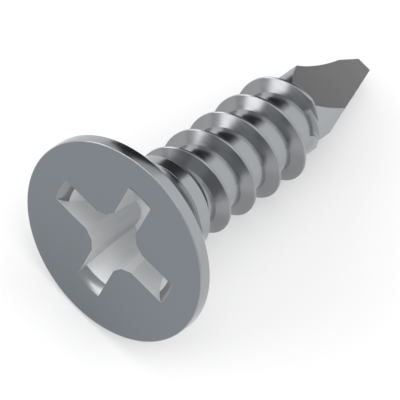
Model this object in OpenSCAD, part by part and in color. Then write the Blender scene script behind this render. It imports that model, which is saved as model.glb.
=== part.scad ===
// Self drilling screw with a countersunk head and a cross recess, lying on the ground as it comes to rest.
// Each module builds the screw upright, with the head face at height 0 and the drill point on top.
// Millimetres throughout.

/* [Head] */
// Length over all, from the head face to the end of the drill point
screw_l = 13; // [11:0.5:24]
// Diameter of the head
head_d = 7.3; // [6.4:0.1:8.5]
// Thickness of the rim round the head
rim_h = 0.44; // [0.2:0.02:0.7]
// Included angle of the countersink
sink_angle = 90; // [82:1:100]

/* [Neck] */
// Diameter of the plain neck under the head
neck_d = 3.5; // [3.3:0.05:4.2]
// Length of the plain neck
neck_l = 0.48; // [0.4:0.02:1.2]
// Angle between the axis and the slope from the neck down to the core of the thread
neck_slope = 44; // [35:1:60]

/* [Recess] */
// Distance across two opposite wings of the cross, at the head face
wing_span = 5.06; // [4.4:0.02:5.8]
// Width of a wing at the head face
wing_w = 1.01; // [0.8:0.01:1.14]
// Width of a wing at the bottom of the recess
wing_deep_w = 0.74; // [0.5:0.02:0.9]
// Distance across the core, measured from corner to corner between the wings, at the head face
core_d = 1.98; // [1.7:0.02:2.2]
// Distance across the core at the bottom of the recess
core_deep_d = 1.51; // [1.2:0.01:1.7]
// Angle between the run of a wing and the facet that leads from it into the core
corner_angle = 29; // [25:1:40]
// How far the shallow part at the end of a wing reaches in
lip_w = 0.52; // [0.3:0.02:0.7]
// Depth of that shallow part
lip_h = 0.2; // [0.1:0.02:0.3]
// Metal left between the foot of a wing and the side of the neck
recess_wall = 0.5; // [0.3:0.02:0.7]
// Metal left between the foot of the wings and the end of the neck
recess_floor = 0.68; // [0.5:0.02:1]
// Depth of the cone in the middle of the recess floor
recess_tip = 0.3; // [0.1:0.02:0.45]

/* [Thread] */
// Outer diameter of the thread
thread_d = 3.44; // [3.3:0.02:3.6]
// Diameter of the core between the turns
root_d = 2.6; // [2.3:0.02:2.8]
// Distance from one turn to the next
pitch = 1.3; // [1.1:0.05:1.6]
// Angle between a flank and a plane across the axis
flank_angle = 29; // [20:1:35]
// Width of the flat on the crest
crest_w = 0.08; // [0.04:0.01:0.16]
// Angle round the axis at which the thread begins to run out
run_out_at = 88; // [60:1:120]
// Angle through which the thread runs out
run_out = 60; // [36:6:90]
// Distance from the collar to the middle of the crest, where the thread begins to run out
crest_gap = 0.126; // [0.1:0.002:0.2]

/* [Drill point] */
// Diameter of the drill point
drill_d = 3.04; // [2.9:0.02:3.3]
// Angle between the collar and a plane across the axis
collar_angle = 31; // [20:1:45]
// Length of the drill point
drill_l = 4.18; // [3.8:0.02:5]
// Thickness of the web between the two flutes
web_t = 1.1; // [0.8:0.02:1.3]
// Radius of a flute
flute_r = 0.95; // [0.8:0.01:1.1]
// Angle between the middle of a flute and the edge of the blade
flute_lead = 11; // [0:1:20]
// Angle between the axis and each broad face of the blade
blade_angle = 17.8; // [15:0.1:20]
// Angle between the axis and each narrow side of the blade
side_angle = 16.8; // [14:0.1:19]
// Length of the end edge
chisel_l = 0.54; // [0.3:0.02:0.8]
// Thickness of the end edge
chisel_t = 0.34; // [0.2:0.02:0.5]

/* [Position] */
// Turn of the recess and the blade about the axis
key_turn = -15.8; // [-45:0.1:45]

/* [Hidden] */
$fn = 96;
// overlap that joins one form to the next inside the metal
bury = 0.25;
turn_steps = 60;
step_angle = 360 / turn_steps;
end_steps = 8;
// clearance between the core and the wall of a flute
flute_gap = 0.02;
// how far the core goes on past the ridge, inside the drill point
core_reach = 0.1;

head_r = head_d / 2;
neck_r = neck_d / 2;
root_r = root_d / 2;
drill_r = drill_d / 2;
ridge_h = thread_d / 2 - root_r;
flank_l = ridge_h * tan(flank_angle);
ridge_w = crest_w + 2 * flank_l;

proud = 0.3;
sink_h = (head_r - neck_r) / tan(sink_angle / 2);
neck_start = rim_h + sink_h;
neck_end = neck_start + neck_l;
recess_h = neck_end - recess_floor;
foot_r = neck_r - recess_wall;
cutter_h = recess_h + 2 * recess_tip;
drill_start = screw_l - drill_l;
collar_h = (drill_r - root_r + bury) * tan(collar_angle);
flute_at = web_t / 2 + flute_r;

// middle of the crest, as a height, at a turn angle about the axis
crest_at_run_out = drill_start + crest_gap;
function crest_z(angle) = crest_at_run_out + pitch * (angle - run_out_at) / 360;

// share of its full size that the ridge has at a turn angle
function ridge_share(angle) = min(1, 1 - (angle - run_out_at) / run_out);

ridge_steps = ceil((crest_z(run_out_at) - neck_end + bury + ridge_w / 2) / pitch * turn_steps);
fade_steps = floor(run_out / step_angle) - 1;
all_steps = ridge_steps + fade_steps;
function step_turn(i) = run_out_at + (i - ridge_steps) * step_angle;
ring_start = crest_z(step_turn(0)) - ridge_w;
ring_end = crest_at_run_out + ridge_w / 2 + core_reach;

function on_screw(r, angle, z) = [r * cos(angle), r * sin(angle), z];

// the ridge in section, from its foot on the head side to its foot on the point side
function ridge_points(i) =
    let (
        angle = step_turn(i),
        share = ridge_share(angle),
        foot_z = crest_z(angle) - ridge_w / 2
    )
    [
        on_screw(root_r, angle, foot_z),
        on_screw(root_r + share * ridge_h, angle, foot_z + share * flank_l),
        on_screw(root_r + share * ridge_h, angle, foot_z + share * (flank_l + crest_w)),
        on_screw(root_r, angle, foot_z + share * ridge_w)
    ];

function ring_points(z) = [for (j = [0 : turn_steps - 1]) on_screw(root_r, step_turn(j), z)];

// numbers of the points in the list below: first ring, then four for each step, then last ring
function low(j) = j % turn_steps;
function rib(i, k) = turn_steps + 4 * i + k;
function high(j) = turn_steps + 4 * (all_steps + 1) + j % turn_steps;

module threaded_core() {
    points = concat(
        ring_points(ring_start),
        [for (i = [0 : all_steps]) each ridge_points(i)],
        ring_points(ring_end)
    );
    last = turn_steps - 1;
    split = all_steps - turn_steps;
    flanks = [
        for (i = [0 : all_steps - 1], k = [0 : 2]) each [
            [rib(i, k), rib(i, k + 1), rib(i + 1, k + 1)],
            [rib(i, k), rib(i + 1, k + 1), rib(i + 1, k)]
        ]
    ];
    first_band = [
        for (i = [0 : last - 1]) [low(i), rib(i, 0), rib(i + 1, 0), low(i + 1)],
        [low(last), rib(last, 0), rib(turn_steps, 0), rib(0, 3), rib(0, 0), low(0)]
    ];
    bands = [
        for (i = [0 : split - 1])
            [rib(i, 3), rib(i + turn_steps, 0), rib(i + turn_steps + 1, 0), rib(i + 1, 3)]
    ];
    last_band = [
        [rib(split + 1, 3), rib(split, 3), rib(all_steps, 0), rib(all_steps, 3), high(split), high(split + 1)],
        for (i = [split + 1 : all_steps - 1]) [rib(i, 3), high(i), high(i + 1), rib(i + 1, 3)]
    ];
    ends = [
        [for (j = [0 : last]) low(j)],
        [for (j = [last : -1 : 0]) high(j)],
        [for (k = [3 : -1 : 0]) rib(0, k)],
        [for (k = [0 : 3]) rib(all_steps, k)]
    ];
    polyhedron(points, concat(flanks, first_band, bands, last_band, ends), convexity = 10);
}

// head, countersink and plain neck, turned as one, with a slope that ends inside the core
module head() {
    slope_r = root_r - bury;
    slope_end = neck_end + (neck_r - slope_r) / tan(neck_slope);
    rotate_extrude()
        polygon([
            [0, 0],
            [head_r, 0],
            [head_r, rim_h],
            [neck_r, neck_start],
            [neck_r, neck_end],
            [slope_r, slope_end],
            [0, slope_end]
        ]);
}

// how wide a tapering recess is at a depth, from its widths at the face and at the foot
function narrowed(face_w, deep_w, depth) = face_w + (deep_w - face_w) * depth / recess_h;

// one pair of wings, whose sides draw in with depth
module wing_pair() {
    top_w = narrowed(wing_w, wing_deep_w, -proud);
    low_w = narrowed(wing_w, wing_deep_w, cutter_h);
    rotate([90, 0, 90])
        linear_extrude(2 * wing_span, center = true)
            polygon([[-top_w / 2, -proud], [top_w / 2, -proud], [low_w / 2, cutter_h], [-low_w / 2, cutter_h]]);
}

// core with a corner on each diagonal between two wings, and a facet from there to each wing
module recess_core() {
    corner_r = narrowed(core_d, core_deep_d, -proud) / 2;
    low_r = narrowed(core_d, core_deep_d, cutter_h) / 2;
    axis_r = corner_r * sin(45) * (1 + 1 / tan(corner_angle));
    translate([0, 0, -proud])
        linear_extrude(cutter_h + proud, scale = low_r / corner_r)
            polygon([for (k = [0 : 7]) (k % 2 == 0 ? axis_r : corner_r) * [cos(45 * k), sin(45 * k)]]);
}

// end of a wing in section, a curve that starts shallow at the face and steepens towards the foot
function wing_end(t) =
    (1 - t) * (1 - t) * [wing_span / 2, 0]
    + 2 * t * (1 - t) * [wing_span / 2 - lip_w, lip_h]
    + t * t * [foot_r, recess_h];

// cross recess for the driver, with a curved end to each wing and a pointed floor
module recess() {
    intersection() {
        union() {
            wing_pair();
            rotate([0, 0, 90]) wing_pair();
            recess_core();
        }
        rotate_extrude()
            polygon([
                [0, -proud],
                [wing_span / 2, -proud],
                for (i = [0 : end_steps]) wing_end(i / end_steps),
                [0, recess_h + recess_tip]
            ]);
    }
}

// outline of a wedge that is a given width at the end of the screw
module wedge(end_w, slope_angle) {
    reach = head_r;
    apex_z = screw_l + end_w / 2 / tan(slope_angle);
    base_z = apex_z - reach / tan(slope_angle);
    rotate([90, 0, 0])
        linear_extrude(head_d, center = true)
            polygon([[0, apex_z], [-reach, base_z], [-reach, 0], [reach, 0], [reach, base_z]]);
}

// round body of the drill point, with the sloping collar that leads to it from inside the core
module drill_body() {
    rotate_extrude()
        polygon([
            [0, drill_start - collar_h],
            [root_r - bury, drill_start - collar_h],
            [drill_r, drill_start],
            [drill_r, screw_l],
            [0, screw_l]
        ]);
}

// two round flutes half a turn apart, open at the end of the screw, with a clearance round each
module flutes(start, gap) {
    for (half = [0, 180])
        rotate([0, 0, half + flute_lead])
            translate([flute_at, 0, start])
                cylinder(h = screw_l + bury - start, r = flute_r + gap);
}

// drill point: a round body whose flutes run on through its collar, narrowed to a blade
module drill_point() {
    intersection() {
        difference() {
            drill_body();
            flutes(drill_start - collar_h - bury, 0);
        }
        wedge(chisel_l, side_angle);
        rotate([0, 0, 90]) wedge(chisel_t, blade_angle);
    }
}

// the core ends square where it meets the flutes, and so does the thread
module cut_thread() {
    difference() {
        threaded_core();
        rotate([0, 0, key_turn]) flutes(drill_start - flute_gap, flute_gap);
    }
}

module upright_screw() {
    difference() {
        union() {
            head();
            cut_thread();
            rotate([0, 0, key_turn]) drill_point();
        }
        rotate([0, 0, key_turn]) recess();
    }
}

// the screw lies with its blade level, on the edge of its head and on the last turn of its thread,
// or on the start of the drill point where that stands out further
down_turn = key_turn + 270;
last_crest_z = crest_z(run_out_at - (run_out_at - down_turn + 720) % 360) + crest_w / 2;
tilt_on_thread = atan((head_r - thread_d / 2) / (last_crest_z - rim_h));
tilt_on_drill = atan((head_r - drill_r) / (drill_start - rim_h));
rest_tilt = min(tilt_on_thread, tilt_on_drill);
rest_lift = head_r * cos(rest_tilt) + rim_h * sin(rest_tilt);
rest_back = -head_r * sin(rest_tilt);
rest_front = screw_l * cos(rest_tilt) + chisel_t / 2 * sin(rest_tilt);

module screw() {
    color([0.62, 0.64, 0.66])
        translate([-(rest_back + rest_front) / 2, 0, rest_lift])
            rotate([0, 90 + rest_tilt, 0])
                rotate([0, 0, -down_turn])
                    upright_screw();
}

screw();
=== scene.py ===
from math import atan, cos, pi, radians, sin, sqrt, tan

import bmesh
import bpy
from mathutils import Matrix, Vector


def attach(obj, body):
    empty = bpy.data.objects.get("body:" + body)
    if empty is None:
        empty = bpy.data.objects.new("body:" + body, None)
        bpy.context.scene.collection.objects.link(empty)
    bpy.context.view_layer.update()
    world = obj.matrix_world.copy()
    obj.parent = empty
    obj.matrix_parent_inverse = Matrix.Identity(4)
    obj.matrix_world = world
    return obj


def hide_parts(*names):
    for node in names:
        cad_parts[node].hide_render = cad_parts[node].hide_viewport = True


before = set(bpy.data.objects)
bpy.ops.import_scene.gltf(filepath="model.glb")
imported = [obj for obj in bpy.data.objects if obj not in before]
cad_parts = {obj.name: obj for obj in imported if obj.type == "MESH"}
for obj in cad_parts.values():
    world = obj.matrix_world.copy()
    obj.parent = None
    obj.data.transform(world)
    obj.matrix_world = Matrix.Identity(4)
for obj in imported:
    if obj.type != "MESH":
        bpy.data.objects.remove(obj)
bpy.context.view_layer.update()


# The blank of the screw: head, countersink, neck and the core that carries the thread. It is cold
# headed from steel wire, so its outline is turned about one axis, in millimetres, with the head
# face at height 0 and the point on top.
HEAD_RADIUS = 3.65
RIM_HEIGHT = 0.44
NECK_RADIUS = 1.75
NECK_END = 2.82
NECK_SLOPE = radians(44)
CORE_RADIUS = 1.30
CORE_END = 9.32
FACE_EDGE = 0.03
RIM_EDGE = 0.02
HEAD_FILLET = 0.10
NECK_EDGE = 0.02
CORE_FILLET = 0.05
TURN_STEPS = 240
FLAT_FACING = -0.99


def new_object(name, mesh):
    made = bpy.data.objects.new(name, mesh)
    bpy.context.scene.collection.objects.link(made)
    return made


def solid(bm, name):
    """New object from closed faces, which are turned outwards."""
    bmesh.ops.recalc_face_normals(bm, faces=bm.faces)
    mesh = bpy.data.meshes.new(name)
    bm.to_mesh(mesh)
    bm.free()
    return new_object(name, mesh)


def rounded(corners, steps=4):
    """Outline through corners of radius, height and fillet, with an arc at each fillet."""
    points = []
    for i, (r, z, fillet) in enumerate(corners):
        here = Vector((r, z))
        if fillet == 0:
            points.append(here)
            continue
        back = (Vector(corners[i - 1][:2]) - here).normalized()
        ahead = (Vector(corners[i + 1][:2]) - here).normalized()
        half = back.angle(ahead) / 2
        middle = here + (back + ahead).normalized() * fillet / sin(half)
        start = here + back * fillet / tan(half) - middle
        end = here + ahead * fillet / tan(half) - middle
        sweep = start.angle_signed(end)
        for step in range(steps + 1):
            points.append(middle + Matrix.Rotation(-sweep * step / steps, 2) @ start)
    return points


def turned(name, outline, steps=TURN_STEPS):
    """Closed solid of revolution, from an outline that starts and ends on the axis."""
    bm = bmesh.new()
    first = bm.verts.new((0, 0, outline[0].y))
    last = bm.verts.new((0, 0, outline[-1].y))
    rings = []
    for r, z in outline[1:-1]:
        angles = [2 * pi * j / steps for j in range(steps)]
        rings.append([bm.verts.new((r * cos(a), r * sin(a), z)) for a in angles])
    for j in range(steps):
        k = (j + 1) % steps
        bm.faces.new((first, rings[0][k], rings[0][j]))
        bm.faces.new((last, rings[-1][j], rings[-1][k]))
        for low, high in zip(rings, rings[1:]):
            bm.faces.new((low[j], low[k], high[k], high[j]))
    return solid(bm, name)


def tree_node(tree, kind, *values, **settings):
    """Adds a node, sets its settings, and links or sets its first inputs in order."""
    node = tree.nodes.new(kind)
    for name, value in settings.items():
        setattr(node, name, value)
    sockets = [s for s in node.inputs if s.enabled]
    for socket, value in zip(sockets, values):
        if value is None:
            continue
        if isinstance(value, bpy.types.NodeSocket):
            tree.links.new(value, socket)
        else:
            socket.default_value = value
    return node


def maths(tree, operation, *values):
    return tree_node(tree, "ShaderNodeMath", *values, operation=operation).outputs[0]


# the plating has soft clouds about a millimetre across, tool marks a few hundredths wide and
# finer specks, each given as noise scale and detail, and changes a tone by a share either way
CLOUDS = (900.0, 3.0)
MARKS = (16000.0, 2.0)
SPECKS = (42000.0, 2.0)
CLOUD_RANGE = (0.3, 0.7)
MARK_RANGE = (0.25, 0.75)
CLOUD_TONE = 0.045
MARK_TONE = 0.025
DULLING = 0.15
RELIEF = 0.0000002
SPECK_SHARE = 0.4
LEAN = radians(13.82)


def plated(name, colour, roughness, metallic=1.0, grain=(1.0, 1.0, 1.0)):
    """Plated steel with marks that are long where the grain is small: along, across or up."""
    made = bpy.data.materials.new(name)
    made.use_nodes = True
    tree = made.node_tree
    shader = tree.nodes["Principled BSDF"]
    shader.inputs["Metallic"].default_value = metallic
    place = tree.nodes.new("ShaderNodeTexCoord").outputs["Object"]
    level = tree_node(tree, "ShaderNodeMapping", place).outputs[0]
    level.node.inputs["Rotation"].default_value = (0, -LEAN, 0)
    marks_at = tree_node(tree, "ShaderNodeMapping", level).outputs[0]
    marks_at.node.inputs["Scale"].default_value = grain

    def noise(spot, scale, detail):
        texture = tree_node(tree, "ShaderNodeTexNoise", spot)
        texture.inputs["Scale"].default_value = scale
        texture.inputs["Detail"].default_value = detail
        return texture.outputs[0]

    def varied(pattern, limits, spread):
        """Factor round one that follows a pattern between two of its values."""
        low, high = limits
        return tree_node(
            tree, "ShaderNodeMapRange", pattern, low, high, 1 - spread, 1 + spread
        ).outputs[0]

    clouds = noise(place, *CLOUDS)
    marks = noise(marks_at, *MARKS)
    specks = noise(place, *SPECKS)
    tone = varied(clouds, CLOUD_RANGE, CLOUD_TONE)
    streak = varied(marks, MARK_RANGE, MARK_TONE)
    share = maths(tree, "MULTIPLY", tone, streak)
    tint = tree_node(tree, "ShaderNodeVectorMath", colour, None, None, share, operation="SCALE")
    tree.links.new(tint.outputs[0], shader.inputs["Base Color"])

    soft = varied(clouds, CLOUD_RANGE, DULLING)
    fine = varied(marks, MARK_RANGE, DULLING)
    rough = maths(tree, "MULTIPLY", maths(tree, "MULTIPLY", soft, fine), roughness)
    tree.links.new(rough, shader.inputs["Roughness"])

    height = maths(tree, "MULTIPLY_ADD", specks, SPECK_SHARE, marks)
    bump = tree.nodes.new("ShaderNodeBump")
    bump.inputs["Strength"].default_value = 1.0
    bump.inputs["Distance"].default_value = RELIEF
    tree.links.new(height, bump.inputs["Height"])
    tree.links.new(bump.outputs[0], shader.inputs["Normal"])
    return made


# rolling leaves marks round the axis
ROUND_MARKS = (1.0, 0.04, 0.04)
rolled_steel = plated("rolled steel", (0.326, 0.338, 0.354), 0.18, grain=ROUND_MARKS)
# the flat of the head is a darker copy of the steel: painted shade that stands for the darker
# surroundings it reflects
head_flat_painted_shade = plated("head flat painted shade", (0.190, 0.207, 0.227), 0.20)
blank = turned("blank", rounded([
    (0, 0, 0),
    (HEAD_RADIUS, 0, FACE_EDGE),
    (HEAD_RADIUS, RIM_HEIGHT, RIM_EDGE),
    (NECK_RADIUS, RIM_HEIGHT + HEAD_RADIUS - NECK_RADIUS, HEAD_FILLET),
    (NECK_RADIUS, NECK_END, NECK_EDGE),
    (CORE_RADIUS, NECK_END + (NECK_RADIUS - CORE_RADIUS) / tan(NECK_SLOPE), CORE_FILLET),
    (CORE_RADIUS, CORE_END, 0),
    (0, CORE_END, 0),
]))
blank.data.materials.append(rolled_steel)
blank.data.materials.append(head_flat_painted_shade)
# faces that look straight down the axis, the flat of the head, take the darker painted-shade steel
for face in blank.data.polygons:
    if face.normal.z < FLAT_FACING:
        face.material_index = 1


# The thread, rolled onto the core as one ridge in a helix, right-handed and coarse. It comes out
# of the neck at full height and runs out where the round body of the drill point begins.
DRILL_START = 8.82
THREAD = {
    "Core Radius": CORE_RADIUS,
    "Ridge Height": 0.42,
    "Flank Angle": radians(29),
    "Crest Width": 0.08,
    "Crest Rounding": 0.015,
    "Root Depth": 0.15,
    "Pitch": 1.30,
    "Step Angle": 2 * pi / TURN_STEPS,
    "Run-out Angle": radians(88),
    "Run-out Length": radians(60),
    "Run-out Height": DRILL_START + 0.126,
    "Steps before Run-out": 0,
}

# the ridge starts inside the neck, and at its run-out it sinks just below the face of the core
START_INSIDE = 0.3
LAST_SHARE = -0.05
LEAST_WIDTH = 0.02
COLUMNS = 8
SEAM_GAP = 0.0001
FLANK_FACING = -0.7
ridge_width = THREAD["Crest Width"] + 2 * THREAD["Ridge Height"] * tan(THREAD["Flank Angle"])
thread_length = THREAD["Run-out Height"] - NECK_END + START_INSIDE + ridge_width / 2
THREAD["Steps before Run-out"] = round(thread_length / THREAD["Pitch"] * TURN_STEPS)
run_out_steps = round(THREAD["Run-out Length"] / THREAD["Step Angle"])
thread_rows = THREAD["Steps before Run-out"] + run_out_steps + 1

tree = bpy.data.node_groups.new("thread ridge", "GeometryNodeTree")
tree.interface.new_socket("Mesh", in_out="OUTPUT", socket_type="NodeSocketGeometry")
for name, value in THREAD.items():
    kind = "NodeSocketInt" if name.startswith("Steps") else "NodeSocketFloat"
    tree.interface.new_socket(name, in_out="INPUT", socket_type=kind)
tree.interface.new_socket("Steel", in_out="INPUT", socket_type="NodeSocketMaterial")
given = tree.nodes.new("NodeGroupInput").outputs
result = tree.nodes.new("NodeGroupOutput")

# each row of the grid is the section of the ridge at one turn angle
index = tree_node(tree, "GeometryNodeInputIndex").outputs[0]
row = maths(tree, "FLOOR", maths(tree, "DIVIDE", index, COLUMNS))
column = maths(tree, "SUBTRACT", index, maths(tree, "MULTIPLY", row, COLUMNS))
steps_past = maths(tree, "SUBTRACT", row, given["Steps before Run-out"])
past = maths(tree, "MULTIPLY", steps_past, given["Step Angle"])
angle = maths(tree, "ADD", past, given["Run-out Angle"])
share = tree_node(
    tree, "ShaderNodeMapRange", past, 0.0, given["Run-out Length"], 1.0, LAST_SHARE
).outputs[0]
wide_share = maths(tree, "MAXIMUM", share, LEAST_WIDTH)

flank = maths(tree, "TANGENT", given["Flank Angle"])
height = maths(tree, "MULTIPLY", share, given["Ridge Height"])
wide_height = maths(tree, "MULTIPLY", wide_share, given["Ridge Height"])
run = maths(tree, "MULTIPLY", wide_height, flank)
crest = maths(tree, "MULTIPLY", wide_share, given["Crest Width"])
corner = maths(tree, "MULTIPLY", wide_share, given["Crest Rounding"])
shoulder = maths(tree, "SUBTRACT", height, corner)
corner_run = maths(tree, "MULTIPLY", corner, flank)
root = maths(tree, "MULTIPLY", given["Root Depth"], -1.0)
root_run = maths(tree, "MULTIPLY", root, flank)
far_foot = maths(tree, "MULTIPLY_ADD", run, 2.0, crest)

low_side = [
    (root, root_run),
    (shoulder, maths(tree, "SUBTRACT", run, corner_run)),
    (height, maths(tree, "ADD", run, corner)),
]
high_side = [(rise, maths(tree, "SUBTRACT", far_foot, along)) for rise, along in low_side]
middle_along = maths(tree, "MULTIPLY", far_foot, 0.5)
section = [*low_side, *reversed(high_side), (root, middle_along), low_side[0]]


def by_column(values):
    """Field that takes its value from the column of the section."""
    node = tree_node(tree, "GeometryNodeIndexSwitch", data_type="FLOAT")
    while len(node.index_switch_items) < len(values):
        node.index_switch_items.new()
    tree.links.new(column, node.inputs["Index"])
    for i, value in enumerate(values):
        tree.links.new(value, node.inputs[i + 1])
    return node.outputs[0]


# the first and the last row shrink to one point inside the core, which closes the ends
is_first = maths(tree, "LESS_THAN", row, 0.5)
is_last = maths(tree, "GREATER_THAN", row, float(thread_rows) - 1.5)
is_end = maths(tree, "ADD", is_first, is_last)
rise = tree_node(
    tree, "ShaderNodeMix", is_end, by_column([r for r, a in section]), root
).outputs[0]
along = tree_node(
    tree, "ShaderNodeMix", is_end, by_column([a for r, a in section]), middle_along
).outputs[0]
radius = maths(tree, "ADD", given["Core Radius"], rise)
turns = maths(tree, "DIVIDE", past, 2 * pi)
full_run = maths(tree, "MULTIPLY", given["Ridge Height"], flank)
crest_line = maths(tree, "MULTIPLY_ADD", turns, given["Pitch"], given["Run-out Height"])
half_width = maths(tree, "MULTIPLY_ADD", given["Crest Width"], 0.5, full_run)
near_foot = maths(tree, "SUBTRACT", crest_line, half_width)
x = maths(tree, "MULTIPLY", radius, maths(tree, "COSINE", angle))
y = maths(tree, "MULTIPLY", radius, maths(tree, "SINE", angle))
z = maths(tree, "ADD", near_foot, along)
place = tree_node(tree, "ShaderNodeCombineXYZ", x, y, z).outputs[0]

grid = tree_node(tree, "GeometryNodeMeshGrid", 1.0, 1.0, thread_rows, COLUMNS).outputs["Mesh"]
wound = tree_node(tree, "GeometryNodeSetPosition", grid, None, place).outputs[0]
closed = tree_node(tree, "GeometryNodeMergeByDistance", wound, None, SEAM_GAP).outputs[0]
plain = tree_node(tree, "GeometryNodeRealizeInstances", closed).outputs[0]
coated = tree_node(tree, "GeometryNodeSetMaterial", plain, None, given["Steel"]).outputs[0]
tree.links.new(coated, result.inputs[0])


def as_mesh(shaped, name):
    """Plain mesh of an object as its modifiers leave it."""
    seen = shaped.evaluated_get(bpy.context.evaluated_depsgraph_get())
    mesh = bpy.data.meshes.new_from_object(seen)
    mesh.name = name
    return mesh


ridge = new_object("ridge", bpy.data.meshes.new("ridge"))
winding = ridge.modifiers.new("thread", "NODES")
winding.node_group = tree
inputs = [item for item in tree.interface.items_tree if item.in_out == "INPUT"]
sockets = {item.name: item.identifier for item in inputs}
for name, value in THREAD.items():
    winding[sockets[name]] = value
winding[sockets["Steel"]] = rolled_steel
ridge_mesh = as_mesh(ridge, "ridge")
ridge.modifiers.clear()
ridge.data = ridge_mesh


def outward(mesh):
    """Turns the faces of a closed mesh outwards."""
    bm = bmesh.new()
    bm.from_mesh(mesh)
    bmesh.ops.recalc_face_normals(bm, faces=bm.faces)
    bm.to_mesh(mesh)
    bm.free()


# the flanks that look towards the head take a copy of the steel a shade darker: painted shade that
# stands for the darker surroundings they reflect
outward(ridge_mesh)
flank_steel_painted_shade = plated("flank steel painted shade", (0.256, 0.262, 0.272), 0.20, grain=ROUND_MARKS)
ridge_mesh.materials.append(flank_steel_painted_shade)
painted_shade_slot = ridge_mesh.materials.find(flank_steel_painted_shade.name)
for face in ridge_mesh.polygons:
    if face.normal.z < FLANK_FACING:
        face.material_index = painted_shade_slot


def combine(body, tool, operation):
    """Adds a solid to a body, cuts it away or keeps what they share, and deletes the tool."""
    cut = body.modifiers.new("cut", "BOOLEAN")
    cut.operation = operation
    cut.solver = "EXACT"
    cut.material_mode = "TRANSFER"
    cut.object = tool
    body.data = as_mesh(body, body.name)
    body.modifiers.clear()
    bpy.data.objects.remove(tool)


combine(blank, ridge, "UNION")


# The drill point: a round body pinched from the wire by two dies, with two flutes half a turn
# apart whose walls flare at the sloping collar, and four flat faces that narrow it to a blade
# with a short end edge. The core of the thread ends square where it meets the flutes.
SCREW_LENGTH = 13.0
DRILL_RADIUS = 1.52
COLLAR_ANGLE = radians(31)
COLLAR_REACH = 0.47
WEB_THICKNESS = 1.10
FLUTE_RADIUS = 0.95
FLUTE_LEAD = radians(11)
FLUTE_GAP = 0.02
BLADE_ANGLE = radians(17.8)
SIDE_ANGLE = radians(16.8)
CHISEL_LENGTH = 0.54
CHISEL_THICKNESS = 0.34
KEY_TURN = radians(-15.8)
LAND_EDGE = 0.015
FLUTE_EDGE = 0.02
FLUTE_STEPS = 160
PAST_END = 0.5
PAST_FOOT = 0.1
WEDGE_REACH = 6.0
WEDGE_FOOT = -20
LONG_MARKS = (0.04, 1.0, 1.0)
CROSS_MARKS = (1.0, 0.05, 1.0)
flute_steel = plated("flute steel", (0.345, 0.358, 0.373), 0.20, grain=LONG_MARKS)
ground_steel = plated("ground steel", (0.264, 0.262, 0.269), 0.20, grain=CROSS_MARKS)


def about_axis(angle):
    return Matrix.Rotation(angle, 4, "Z")


def flute(name, corners, turn):
    """Cutter for a flute, turned about the flute's own axis and then put in its place."""
    made = turned(name, rounded(corners), FLUTE_STEPS)
    to_side = Matrix.Translation((WEB_THICKNESS / 2 + FLUTE_RADIUS, 0, 0))
    made.data.transform(about_axis(turn) @ to_side)
    made.data.materials.append(flute_steel)
    return made


def prism(name, ends):
    """Closed solid between two outlines with as many corners each."""
    bm = bmesh.new()
    low, high = [[bm.verts.new(spot) for spot in end] for end in ends]
    bm.faces.new(low)
    bm.faces.new(high)
    for i in range(len(low)):
        j = (i + 1) % len(low)
        bm.faces.new((low[i], low[j], high[j], high[i]))
    return solid(bm, name)


def wedge(name, end_width, slope, turn):
    """Block that narrows to a width at the end of the screw, its slopes facing a turn angle."""
    apex = SCREW_LENGTH + end_width / 2 / tan(slope)
    base = apex - WEDGE_REACH / tan(slope)
    side = [(end_width / 2, SCREW_LENGTH), (WEDGE_REACH, base), (WEDGE_REACH, WEDGE_FOOT)]
    outline = side + [(-x, z) for x, z in reversed(side)]
    made = prism(name, [
        [about_axis(turn) @ Vector((x, y, z)) for x, z in outline]
        for y in (-WEDGE_REACH, WEDGE_REACH)
    ])
    made.data.materials.append(ground_steel)
    return made


collar_foot = DRILL_START - COLLAR_REACH * tan(COLLAR_ANGLE)
drill = turned("drill", rounded([
    (0, collar_foot, 0),
    (DRILL_RADIUS - COLLAR_REACH, collar_foot, 0),
    (DRILL_RADIUS, DRILL_START, LAND_EDGE),
    (DRILL_RADIUS, SCREW_LENGTH + PAST_END, 0),
    (0, SCREW_LENGTH + PAST_END, 0),
]))
drill.data.materials.append(flute_steel)
for turn in (KEY_TURN + FLUTE_LEAD, KEY_TURN + FLUTE_LEAD + pi):
    straight = flute("straight flute", [
        (0, DRILL_START - FLUTE_GAP, 0),
        (FLUTE_RADIUS + FLUTE_GAP, DRILL_START - FLUTE_GAP, 0),
        (FLUTE_RADIUS + FLUTE_GAP, SCREW_LENGTH + 2 * PAST_END, 0),
        (0, SCREW_LENGTH + 2 * PAST_END, 0),
    ], turn)
    combine(blank, straight, "DIFFERENCE")
    flared = flute("flared flute", [
        (0, collar_foot - PAST_FOOT, 0),
        (FLUTE_RADIUS + COLLAR_REACH, collar_foot - PAST_FOOT, 0),
        (FLUTE_RADIUS + COLLAR_REACH, collar_foot, 0),
        (FLUTE_RADIUS, DRILL_START, FLUTE_EDGE),
        (FLUTE_RADIUS, SCREW_LENGTH + 2 * PAST_END, 0),
        (0, SCREW_LENGTH + 2 * PAST_END, 0),
    ], turn)
    combine(drill, flared, "DIFFERENCE")
narrow_sides = wedge("narrow sides", CHISEL_LENGTH, SIDE_ANGLE, KEY_TURN)
combine(drill, narrow_sides, "INTERSECT")
broad_faces = wedge("broad faces", CHISEL_THICKNESS, BLADE_ANGLE, KEY_TURN + pi / 2)
combine(drill, broad_faces, "INTERSECT")
combine(blank, drill, "UNION")


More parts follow.
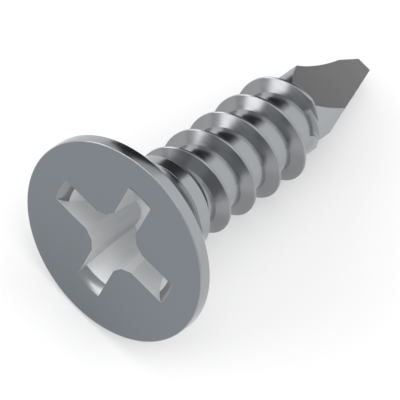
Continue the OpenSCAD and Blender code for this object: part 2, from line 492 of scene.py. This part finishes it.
# The cross recess, pressed into the head by a punch: four wings whose sides draw in with depth,
# a core with a corner between each two wings, curved wing ends and a shallow cone for a floor.
WING_SPAN = 5.06
WING_WIDTH = 1.01
WING_DEEP_WIDTH = 0.74
CORE_CORNER = 0.99
CORE_DEEP_CORNER = 0.755
CORNER_ANGLE = radians(29)
LIP = (0.52, 0.20)
FOOT_RADIUS = 1.25
RECESS_DEPTH = 2.14
RECESS_TIP = 0.30
LIP_DEPTH = 0.34
PROUD = 0.3
CURVE_STEPS = 16


def drawn_in(face_size, deep_size, depth):
    return face_size + (deep_size - face_size) * depth / RECESS_DEPTH


def punch_outline(depth):
    """Cross of four wings with a star shaped core, as the punch has it at a depth."""
    half = drawn_in(WING_WIDTH, WING_DEEP_WIDTH, depth) / 2
    corner = drawn_in(CORE_CORNER, CORE_DEEP_CORNER, depth) / sqrt(2)
    meet = corner + (corner - half) / tan(CORNER_ANGLE)
    quarter = [(WING_SPAN, -half), (WING_SPAN, half), (meet, half), (corner, corner), (half, meet)]
    quarters = [Matrix.Rotation(k * pi / 2, 2) for k in range(4)]
    return [turn @ Vector(spot) for turn in quarters for spot in quarter]


rim = Vector((WING_SPAN / 2, 0))
pull = Vector((WING_SPAN / 2 - LIP[0], LIP[1]))
foot = Vector((FOOT_RADIUS, RECESS_DEPTH))
punch_end = [Vector((0, -PROUD)), Vector((WING_SPAN / 2, -PROUD))]
for step in range(CURVE_STEPS + 1):
    t = step / CURVE_STEPS
    punch_end.append((1 - t) ** 2 * rim + 2 * t * (1 - t) * pull + t * t * foot)
punch_end.append(Vector((0, RECESS_DEPTH + RECESS_TIP)))

# the pressed walls are satin and a pale, partly diffuse copy of the steel, painted light against
# the shade of the recess, and the lips of the wing ends are smooth and darker, painted shade that
# stands for the dark they reflect
recess_steel_painted_light = plated("recess steel painted light", (0.72, 0.73, 0.74), 0.42, metallic=0.45)
lip_steel_painted_shade = plated("lip steel painted shade", (0.25, 0.257, 0.265), 0.20)
punch = turned("punch", punch_end)
wings = prism("wings", [
    [about_axis(KEY_TURN) @ Vector((x, y, depth)) for x, y in punch_outline(depth)]
    for depth in (-PROUD, RECESS_DEPTH + 2 * RECESS_TIP)
])
wings.data.materials.append(recess_steel_painted_light)
punch.data.materials.append(recess_steel_painted_light)
punch.data.materials.append(lip_steel_painted_shade)
# faces of the wing ends near the flat of the head take the darker painted-shade lip steel
for face in punch.data.polygons:
    if 0 < face.center.z < LIP_DEPTH:
        face.material_index = 1
combine(punch, wings, "INTERSECT")
combine(blank, punch, "DIFFERENCE")


# The finished screw: laid down as it comes to rest, on the edge of its head and the last full
# turn of its thread, with the broad faces of its blade level, and brought to metres.
EDGE_ANGLE = radians(28)
down_turn = KEY_TURN + radians(270)
turns_back = ((THREAD["Run-out Angle"] - down_turn) % (2 * pi)) / (2 * pi)
last_crest = THREAD["Run-out Height"] - THREAD["Pitch"] * turns_back + THREAD["Crest Width"] / 2
thread_radius = CORE_RADIUS + THREAD["Ridge Height"]
lean = atan((HEAD_RADIUS - thread_radius) / (last_crest - RIM_HEIGHT))
lying_turn = Matrix.Rotation(pi / 2 + lean, 4, "Y") @ about_axis(-down_turn)
lift = HEAD_RADIUS * cos(lean) + RIM_HEIGHT * sin(lean)
reach_back = -HEAD_RADIUS * sin(lean)
reach_front = SCREW_LENGTH * cos(lean) + CHISEL_THICKNESS / 2 * sin(lean)
middle_of_box = Vector((-(reach_back + reach_front) / 2, 0, lift))
to_frame = Matrix.Scale(0.001, 4) @ Matrix.Translation(middle_of_box) @ lying_turn

screw = new_object("finished_screw", blank.data)
bpy.data.objects.remove(blank)

# corners that the cuts left a hair apart are brought together, so that every seam is closed
seams = bmesh.new()
seams.from_mesh(screw.data)
bmesh.ops.remove_doubles(seams, verts=seams.verts, dist=SEAM_GAP)
seams.to_mesh(screw.data)
seams.free()

screw.data.transform(to_frame)
screw.data.shade_smooth()
screw.data.set_sharp_from_angle(angle=EDGE_ANGLE)

# the flat of the head keeps a crisp outline, and broad faces stay flat up to their edges
edges = bmesh.new()
edges.from_mesh(screw.data)
face_slot = screw.data.materials.find(head_flat_painted_shade.name)
for edge in edges.edges:
    if sum(face.material_index == face_slot for face in edge.link_faces) == 1:
        edge.smooth = False
edges.to_mesh(screw.data)
edges.free()
flats = screw.modifiers.new("even normals", "WEIGHTED_NORMAL")
flats.keep_sharp = True
flats.weight = 100
screw.data = as_mesh(screw, "finished_screw")
screw.modifiers.clear()

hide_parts("screw")
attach(screw, "root")


# The camera: a very long lens from the side of the head, which looks down on the screw. Its place
# and its turn were fitted to the outline of the head, the thread and the blade.
LENS = 1500.0
EYE = Vector((-244.903717, -113.685925, 476.236822)) / 1000
VIEWER = Vector((-0.4462774, -0.2080207, 0.8704103)).normalized()
RIGHT = Vector((0.6929517, -0.6957851, 0.1889442)).normalized()
camera_data = bpy.data.cameras.new("camera")
camera_data.lens = LENS
camera_data.sensor_width = 36.0
camera_data.clip_start = 0.01
camera_data.clip_end = 10.0
camera = new_object("camera", camera_data)
up = VIEWER.cross(RIGHT).normalized()
right = up.cross(VIEWER).normalized()
facing = Matrix((right, up, VIEWER)).transposed().to_4x4()
camera.matrix_world = Matrix.Translation(EYE) @ facing
bpy.context.scene.camera = camera


# The floor: a plain pale sheet of paper that the screw lies on. It keeps the screw's own soft
# shadow, and a faint glow brings the rest of it up to white.
FLOOR_REACH = 4.0
FLOOR_COLOUR = (0.80, 0.80, 0.80, 1)
FLOOR_GLOW = 0.20
floor_mesh = bpy.data.meshes.new("floor")
corners = [(x * FLOOR_REACH, y * FLOOR_REACH, 0) for x, y in ((-1, -1), (1, -1), (1, 1), (-1, 1))]
floor_mesh.from_pydata(corners, [], [(0, 1, 2, 3)])
floor = new_object("floor", floor_mesh)
pale = bpy.data.materials.new("pale floor")
pale.use_nodes = True
sheet = pale.node_tree.nodes["Principled BSDF"]
sheet.inputs["Base Color"].default_value = FLOOR_COLOUR
sheet.inputs["Roughness"].default_value = 1.0
sheet.inputs["Specular IOR Level"].default_value = 0.0
sheet.inputs["Emission Color"].default_value = (1, 1, 1, 1)
rays = pale.node_tree.nodes.new("ShaderNodeLightPath").outputs
seen = maths(pale.node_tree, "MAXIMUM", rays["Is Camera Ray"], rays["Is Glossy Ray"])
seen = maths(pale.node_tree, "MAXIMUM", seen, rays["Is Transmission Ray"])
glow = maths(pale.node_tree, "MULTIPLY", seen, FLOOR_GLOW)
pale.node_tree.links.new(glow, sheet.inputs["Emission Strength"])
floor_mesh.materials.append(pale)


# The studio: a pale room with four soft boxes round the screw and above it, each given by its turn
# and rise as seen from the screw, how wide and high it looks, all in degrees, and its brightness.
# A black card on the far side gives the metal its dark streaks.
ROOM_GREY = (0.80, 0.80, 0.80, 1)
CARD_BLACK = (0.02, 0.02, 0.02, 1)
SCREW_MIDDLE = Vector((0, 0, 0.0025))
SOFT_BOXES = {
    "front": (328, 37, 70, 74, 0.34),
    "key": (144, 28, 34, 32, 2.50),
    "back": (88, 14, 50, 24, 2.30),
    "top": (0, 80, 50, 50, 0.60),
}
BOX_DISTANCE = 0.30
CARD_TURN = radians(30)
CARD_DISTANCE = 0.12
CARD_WIDTH = 0.097
CARD_HEIGHT = 0.080
for name, (turn, rise, wide, high, brightness) in SOFT_BOXES.items():
    box = bpy.data.lights.new(name, "AREA")
    box.shape = "RECTANGLE"
    box.size = 2 * BOX_DISTANCE * tan(radians(wide / 2))
    box.size_y = 2 * BOX_DISTANCE * tan(radians(high / 2))
    box.energy = brightness * pi * box.size * box.size_y
    lamp = new_object(name, box)
    lamp.visible_camera = False
    turn, rise = radians(turn), radians(rise)
    away = Vector((cos(rise) * cos(turn), cos(rise) * sin(turn), sin(rise)))
    across = Vector((-sin(turn), cos(turn), 0))
    facing = Matrix((across, away.cross(across), away)).transposed().to_4x4()
    lamp.matrix_world = Matrix.Translation(away * BOX_DISTANCE + SCREW_MIDDLE) @ facing

ahead = Vector((cos(CARD_TURN), sin(CARD_TURN), 0)) * CARD_DISTANCE
aside = Vector((-sin(CARD_TURN), cos(CARD_TURN), 0)) * CARD_WIDTH / 2
tall = Vector((0, 0, CARD_HEIGHT))
card_mesh = bpy.data.meshes.new("card")
corners = [ahead - aside, ahead + aside, ahead + aside + tall, ahead - aside + tall]
card_mesh.from_pydata(corners, [], [(0, 1, 2, 3)])
black = bpy.data.materials.new("black card")
black.use_nodes = True
paint = black.node_tree.nodes["Principled BSDF"]
paint.inputs["Base Color"].default_value = CARD_BLACK
paint.inputs["Roughness"].default_value = 1.0
card_mesh.materials.append(black)
card = new_object("card", card_mesh)
card.visible_camera = False

room = bpy.data.worlds.new("room")
bpy.context.scene.world = room
room.use_nodes = True
room.node_tree.nodes["Background"].inputs["Color"].default_value = ROOM_GREY
bpy.context.scene.view_settings.view_transform = "Standard"
